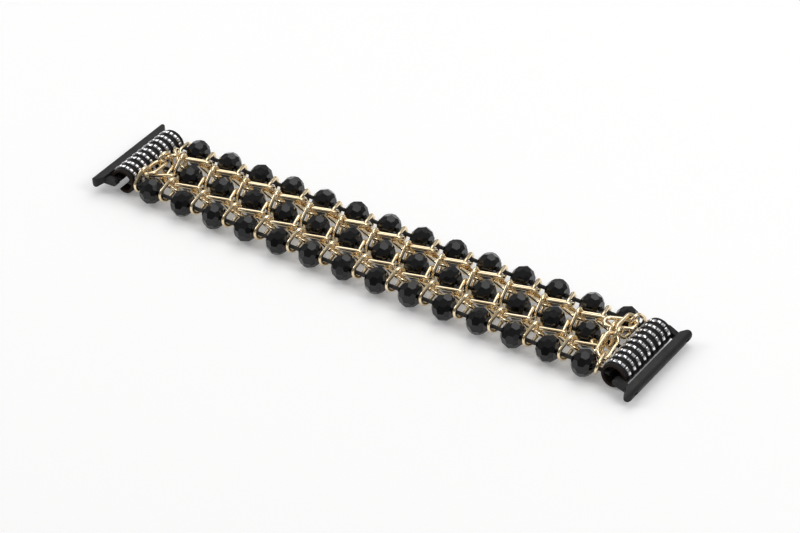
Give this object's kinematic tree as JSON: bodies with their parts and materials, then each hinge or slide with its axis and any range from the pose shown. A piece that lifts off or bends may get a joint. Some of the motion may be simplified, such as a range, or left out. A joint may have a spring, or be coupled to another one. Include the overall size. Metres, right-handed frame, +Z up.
{
  "type": "bead watch band",
  "caption": "Stretch watch band of cut glass beads in three rows, woven with two link chains, with studded leather sleeves and slide-in lugs on spring bars.",
  "frame": {"origin": "middle of the band, on the surface that it lies on", "axes": "+X along the band to the right-hand end in the picture, +Y across it away from the viewer, +Z up from the inner side to the worn side"},
  "size_m": [0.1411, 0.026, 0.008],
  "materials": {
    "bead": "polished black cut glass",
    "chain": "polished pale gold plating",
    "elastic": "matte",
    "sleeve": "matte grained",
    "stud": "bright",
    "steel": "turned",
    "lug": "satin black"
  },
  "bodies": {
    "column_01": {"beads_01": "bead", "links_01": "chain", "cross_chain_left": "chain"},
    "column_02": {"beads_02": "bead", "links_02": "chain"},
    "column_03": {"beads_03": "bead", "links_03": "chain"},
    "column_04": {"beads_04": "bead", "links_04": "chain"},
    "column_05": {"beads_05": "bead", "links_05": "chain"},
    "column_06": {"beads_06": "bead", "links_06": "chain"},
    "column_07": {"beads_07": "bead", "links_07": "chain", "elastic_front": "elastic", "elastic_middle": "elastic", "elastic_back": "elastic"},
    "column_08": {"beads_08": "bead", "links_08": "chain"},
    "column_09": {"beads_09": "bead", "links_09": "chain"},
    "column_10": {"beads_10": "bead", "links_10": "chain"},
    "column_11": {"beads_11": "bead", "links_11": "chain"},
    "column_12": {"beads_12": "bead", "links_12": "chain"},
    "column_13": {"beads_13": "bead", "links_13": "chain"},
    "column_14": {"beads_14": "bead", "links_14": "chain", "cross_chain_right": "chain"},
    "sleeve_right": {"sleeve_right": "sleeve", "studs_right": "stud", "spring_bar_tube_right": "steel", "spring_bar_coil_right": "steel"},
    "lug_right": {"lug_right": "lug", "latch_coil_right": "steel"},
    "tip_front_right": {"spring_bar_tip_front_right": "steel"},
    "tip_back_right": {"spring_bar_tip_back_right": "steel"},
    "latch_right": {"latch_button_right": "steel"},
    "sleeve_left": {"sleeve_left": "sleeve", "studs_left": "stud", "spring_bar_tube_left": "steel", "spring_bar_coil_left": "steel"},
    "lug_left": {"lug_left": "lug", "latch_coil_left": "steel"},
    "tip_front_left": {"spring_bar_tip_front_left": "steel"},
    "tip_back_left": {"spring_bar_tip_back_left": "steel"},
    "latch_left": {"latch_button_left": "steel"}
  },
  "joints": [
    {"name": "hinge_07_08", "type": "hinge", "parent": "column_07", "child": "column_08", "pos_m": [0, 0, 0.00433], "axis": [0, 1, 0], "range_deg": [-10, 15], "deforming": ["elastic_front", "elastic_middle", "elastic_back"]},
    {"name": "hinge_08_09", "type": "hinge", "parent": "column_08", "child": "column_09", "pos_m": [0.0087, 0, 0.00433], "axis": [0, 1, 0], "range_deg": [-10, 15], "deforming": ["elastic_front", "elastic_middle", "elastic_back"]},
    {"name": "hinge_09_10", "type": "hinge", "parent": "column_09", "child": "column_10", "pos_m": [0.0174, 0, 0.00433], "axis": [0, 1, 0], "range_deg": [-10, 15], "deforming": ["elastic_front", "elastic_middle", "elastic_back"]},
    {"name": "hinge_10_11", "type": "hinge", "parent": "column_10", "child": "column_11", "pos_m": [0.0261, 0, 0.00433], "axis": [0, 1, 0], "range_deg": [-10, 15], "deforming": ["elastic_front", "elastic_middle", "elastic_back"]},
    {"name": "hinge_11_12", "type": "hinge", "parent": "column_11", "child": "column_12", "pos_m": [0.0348, 0, 0.00433], "axis": [0, 1, 0], "range_deg": [-10, 15], "deforming": ["elastic_front", "elastic_middle", "elastic_back"]},
    {"name": "hinge_12_13", "type": "hinge", "parent": "column_12", "child": "column_13", "pos_m": [0.0435, 0, 0.00433], "axis": [0, 1, 0], "range_deg": [-10, 15], "deforming": ["elastic_front", "elastic_middle", "elastic_back"]},
    {"name": "hinge_13_14", "type": "hinge", "parent": "column_13", "child": "column_14", "pos_m": [0.0522, 0, 0.00433], "axis": [0, 1, 0], "range_deg": [-10, 12], "deforming": ["elastic_front", "elastic_middle", "elastic_back"]},
    {"name": "hinge_06_07", "type": "hinge", "parent": "column_07", "child": "column_06", "pos_m": [-0.0087, 0, 0.00433], "axis": [0, -1, 0], "range_deg": [-10, 15], "deforming": ["elastic_front", "elastic_middle", "elastic_back"]},
    {"name": "hinge_05_06", "type": "hinge", "parent": "column_06", "child": "column_05", "pos_m": [-0.0174, 0, 0.00433], "axis": [0, -1, 0], "range_deg": [-10, 15], "deforming": ["elastic_front", "elastic_middle", "elastic_back"]},
    {"name": "hinge_04_05", "type": "hinge", "parent": "column_05", "child": "column_04", "pos_m": [-0.0261, 0, 0.00433], "axis": [0, -1, 0], "range_deg": [-10, 15], "deforming": ["elastic_front", "elastic_middle", "elastic_back"]},
    {"name": "hinge_03_04", "type": "hinge", "parent": "column_04", "child": "column_03", "pos_m": [-0.0348, 0, 0.00433], "axis": [0, -1, 0], "range_deg": [-10, 15], "deforming": ["elastic_front", "elastic_middle", "elastic_back"]},
    {"name": "hinge_02_03", "type": "hinge", "parent": "column_03", "child": "column_02", "pos_m": [-0.0435, 0, 0.00433], "axis": [0, -1, 0], "range_deg": [-10, 15], "deforming": ["elastic_front", "elastic_middle", "elastic_back"]},
    {"name": "hinge_01_02", "type": "hinge", "parent": "column_02", "child": "column_01", "pos_m": [-0.0522, 0, 0.00433], "axis": [0, -1, 0], "range_deg": [-10, 12], "deforming": ["elastic_front", "elastic_middle", "elastic_back"]},
    {"name": "sleeve_hinge_right", "type": "hinge", "parent": "column_14", "child": "sleeve_right", "pos_m": [0.0615, 0, 0.00313], "axis": [0, 1, 0], "range_deg": [-3, 14], "deforming": ["elastic_front", "elastic_middle", "elastic_back"]},
    {"name": "lug_swivel_right", "type": "hinge", "parent": "sleeve_right", "child": "lug_right", "pos_m": [0.06565, 0, 0.00313], "axis": [0, 1, 0], "range_deg": [-35, 40]},
    {"name": "tip_front_right", "type": "slide", "parent": "sleeve_right", "child": "tip_front_right", "axis": [0, 1, 0], "range_m": [0, 0.0011], "stiffness_N_per_m": 50, "deforming": ["spring_bar_coil_right"]},
    {"name": "tip_back_right", "type": "slide", "parent": "sleeve_right", "child": "tip_back_right", "axis": [0, -1, 0], "range_m": [0, 0.0011], "stiffness_N_per_m": 50, "deforming": ["spring_bar_coil_right"]},
    {"name": "latch_right", "type": "slide", "parent": "lug_right", "child": "latch_right", "axis": [0.2756, 0, 0.9613], "range_m": [0, 0.0003], "stiffness_N_per_m": 80, "deforming": ["latch_coil_right"]},
    {"name": "sleeve_hinge_left", "type": "hinge", "parent": "column_01", "child": "sleeve_left", "pos_m": [-0.0615, 0, 0.00313], "axis": [0, -1, 0], "range_deg": [-3, 14], "deforming": ["elastic_front", "elastic_middle", "elastic_back"]},
    {"name": "lug_swivel_left", "type": "hinge", "parent": "sleeve_left", "child": "lug_left", "pos_m": [-0.06565, 0, 0.00313], "axis": [0, -1, 0], "range_deg": [-35, 40]},
    {"name": "tip_front_left", "type": "slide", "parent": "sleeve_left", "child": "tip_front_left", "axis": [0, 1, 0], "range_m": [0, 0.0011], "stiffness_N_per_m": 50, "deforming": ["spring_bar_coil_left"]},
    {"name": "tip_back_left", "type": "slide", "parent": "sleeve_left", "child": "tip_back_left", "axis": [0, -1, 0], "range_m": [0, 0.0011], "stiffness_N_per_m": 50, "deforming": ["spring_bar_coil_left"]},
    {"name": "latch_left", "type": "slide", "parent": "lug_left", "child": "latch_left", "axis": [-0.0872, 0, 0.9962], "range_m": [0, 0.0003], "stiffness_N_per_m": 80, "deforming": ["latch_coil_left"]}
  ]
}
